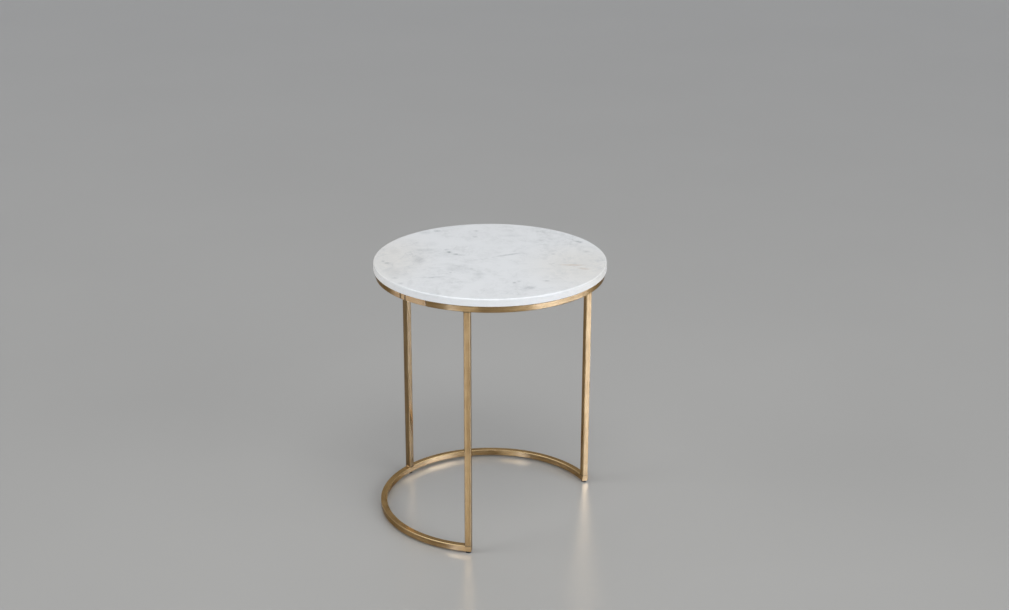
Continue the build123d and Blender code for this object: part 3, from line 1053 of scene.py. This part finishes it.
def soft_box(name, azimuth, elevation, distance, width, height, radiance):
    """Adds an area lamp of an even radiance, turned to face the table."""
    data = bpy.data.lights.new(name, "AREA")
    data.shape = "RECTANGLE"
    data.size, data.size_y = width, height
    # A grid on the lamp keeps its light off the floor below it, and narrows it by this share.
    data.spread = GRID
    gathered = 1 - (GRID / 2) / tan(GRID / 2)
    data.energy = radiance * pi * width * height * gathered
    lamp = bpy.data.objects.new(name, data)
    bpy.context.scene.collection.objects.link(lamp)
    lift = radians(elevation)
    away = round_point(cos(lift), radians(azimuth), sin(lift))
    lamp.location = AIM + away * distance
    lamp.rotation_mode = "QUATERNION"
    lamp.rotation_quaternion = away.to_track_quat("Z", "Y")
    lamp.visible_camera = False
    lamp.visible_glossy = False


OVERCAST = (0.9, 1.0, 1.2)  # daylight, slightly cool against the warm metal
CLEAR = (0.88, 1.1, 1.75)  # cooler still, so that the brightest glints turn almost white
# Windows of the room: middle and half width in degrees round the table, the sine of the angle
# above the floor at which each one ends, and its radiance.
WINDOWS = (
    (290, 76, 0.45, 12.6, OVERCAST),
    (308, 30, 0.43, 29.0, CLEAR),
    (276, 20, 0.75, 10.5, CLEAR),
    (181, 7, 0.75, 10.0, CLEAR),
    (195, 12, 0.75, 4.7, OVERCAST),
    (130, 22, 0.44, 4.8, OVERCAST),
)
FULL_WIDTH = 0.35  # share of its half width at which a window has its full light
FULL_HEIGHT = 0.7  # share of its height below which it has its full light


def room_world(stage):
    """Even soft light, with low windows that reach the metal only by way of the sealed floor."""
    world = bpy.data.worlds.new("room")
    world.use_nodes = True
    tree = world.node_tree
    tree.nodes.clear()
    look = add(tree, "TexCoord")["Generated"]
    lift = add(tree, "SeparateXYZ", [look])[2]
    high = add(tree, "MapRange", [lift, 0.35, 0.9])[0]
    shade = add(tree, "Mix", {BY: high, FROM: stage.sky, TO: stage.ceiling}, **COLOURS)[MIXED]
    level = add(tree, "VectorMath", [look, (1, 1, 0)], "MULTIPLY")[0]
    level = add(tree, "VectorMath", [level], "NORMALIZE")[0]
    glow = (0, 0, 0)
    for middle, half, lintel, radiance, tint in WINDOWS:
        turn, half = radians(middle), radians(half)
        facing = [level, (cos(turn), sin(turn), 0)]
        facing = add(tree, "VectorMath", facing, "DOT_PRODUCT")["Value"]
        pane = [facing, cos(half), cos(half * FULL_WIDTH), 0.0, radiance]
        pane = add(tree, "MapRange", pane, **SMOOTH)[0]
        below = add(tree, "MapRange", [lift, lintel, lintel * FULL_HEIGHT])[0]
        pane = add(tree, "Math", [pane, below], "MULTIPLY")[0]
        pane = add(tree, "VectorMath", {0: tint, 3: pane}, "SCALE")[0]
        glow = add(tree, "VectorMath", [glow, pane], "ADD")[0]
    # The windows begin above a sill, grow brighter upwards, and show only in a second gloss.
    rise = add(tree, "MapRange", [lift, 0.3, 0.5, 1.1, 2.9])[0]
    sill = add(tree, "MapRange", [lift, 0.27, 0.35])[0]
    path = add(tree, "LightPath")
    second = add(tree, "Math", [path["Glossy Depth"], 1.5], "GREATER_THAN")[0]
    for part in (rise, sill, second):
        glow = add(tree, "VectorMath", {0: glow, 3: part}, "SCALE")[0]
    # The gloss also sees a bright ceiling, which draws a line along each rounded edge.
    panel = [lift, 0.6, 0.85, 0.0, 2.3]
    panel = add(tree, "MapRange", panel, **SMOOTH)[0]
    panel = add(tree, "Math", [panel, path["Is Glossy Ray"]], "MULTIPLY")[0]
    panel = add(tree, "VectorMath", {0: OVERCAST, 3: panel}, "SCALE")[0]
    for part in (glow, panel):
        shade = add(tree, "VectorMath", [shade, part], "ADD")[0]
    light = add(tree, "Background", {"Color": shade, "Strength": 1.0})[0]
    add(tree, "OutputWorld", {"Surface": light})
    return world


FLOOR_RINGS = (0.0, 0.6, 2.0, 6.0, 18.0, 40.0)  # metres
FLOOR_STEPS = 96


class SIDETABLE_OT_stage(bpy.types.Operator):
    """Lay the floor, set the soft studio light and stand the camera"""

    bl_idname = "sidetable.stage"
    bl_label = "Stage"

    def execute(self, context):
        scene = context.scene
        stage = scene.side_table.stage
        outline = [(radius, 0.0) for radius in FLOOR_RINGS]
        mesh = lathe(bpy.data.meshes.new("floor"), outline, FLOOR_STEPS)
        mesh.materials.append(painted_floor(stage))
        floor = bpy.data.objects.new("floor", mesh)
        scene.collection.objects.link(floor)

        scene.world = room_world(stage)
        for name, values in LAMPS.items():
            soft_box(name, *values)

        data = bpy.data.cameras.new("camera")
        data.sensor_width = 36.0
        data.lens = stage.lens
        data.clip_start, data.clip_end = 0.05, 100.0
        camera = bpy.data.objects.new("camera", data)
        scene.collection.objects.link(camera)
        camera.location = stage.camera
        camera.rotation_mode = "QUATERNION"
        heading = Quaternion((0, 0, 1), stage.heading)
        pitch = Quaternion((1, 0, 0), pi / 2 - stage.tilt)
        camera.rotation_quaternion = heading @ pitch @ Quaternion((0, 0, 1), stage.roll)
        scene.camera = camera
        scene.view_settings.view_transform = "Standard"
        return {"FINISHED"}


# ---- Panel and registration -----------------------------------------------------------------
OPERATORS = (
    SIDETABLE_OT_marble_top,
    SIDETABLE_OT_top_ring,
    SIDETABLE_OT_base,
    SIDETABLE_OT_legs,
    SIDETABLE_OT_welds,
    SIDETABLE_OT_glides,
    SIDETABLE_OT_fixings,
    SIDETABLE_OT_stage,
)


class SIDETABLE_PT_side_table(bpy.types.Panel):
    """Buttons and settings of the side table"""

    bl_label = "Side Table"
    bl_idname = "SIDETABLE_PT_side_table"
    bl_space_type = "VIEW_3D"
    bl_region_type = "UI"
    bl_category = "Side Table"

    def draw(self, context):
        settings = context.scene.side_table
        for operator in OPERATORS:
            self.layout.operator(operator.bl_idname)
        for group in (settings.stone, settings.brass, settings.small, settings.stage):
            box = self.layout.box()
            for name in group.__annotations__:
                box.prop(group, name)


CLASSES = (
    SideTableStone,
    SideTableBrass,
    SideTableSmall,
    SideTableStage,
    SideTableSettings,
    *OPERATORS,
    SIDETABLE_PT_side_table,
)


def register():
    """Registers the classes and hangs the settings on the scene."""
    for item in CLASSES:
        bpy.utils.register_class(item)
    bpy.types.Scene.side_table = bpy.props.PointerProperty(type=SideTableSettings)


def unregister():
    """Takes the settings and the classes away again."""
    del bpy.types.Scene.side_table
    for item in reversed(CLASSES):
        bpy.utils.unregister_class(item)


def main():
    register()
    bpy.ops.sidetable.marble_top()
    bpy.ops.sidetable.top_ring()
    bpy.ops.sidetable.base()
    bpy.ops.sidetable.legs()
    bpy.ops.sidetable.welds()
    bpy.ops.sidetable.glides()
    bpy.ops.sidetable.fixings()
    bpy.ops.sidetable.stage()


if __name__ == "__main__":
    main()
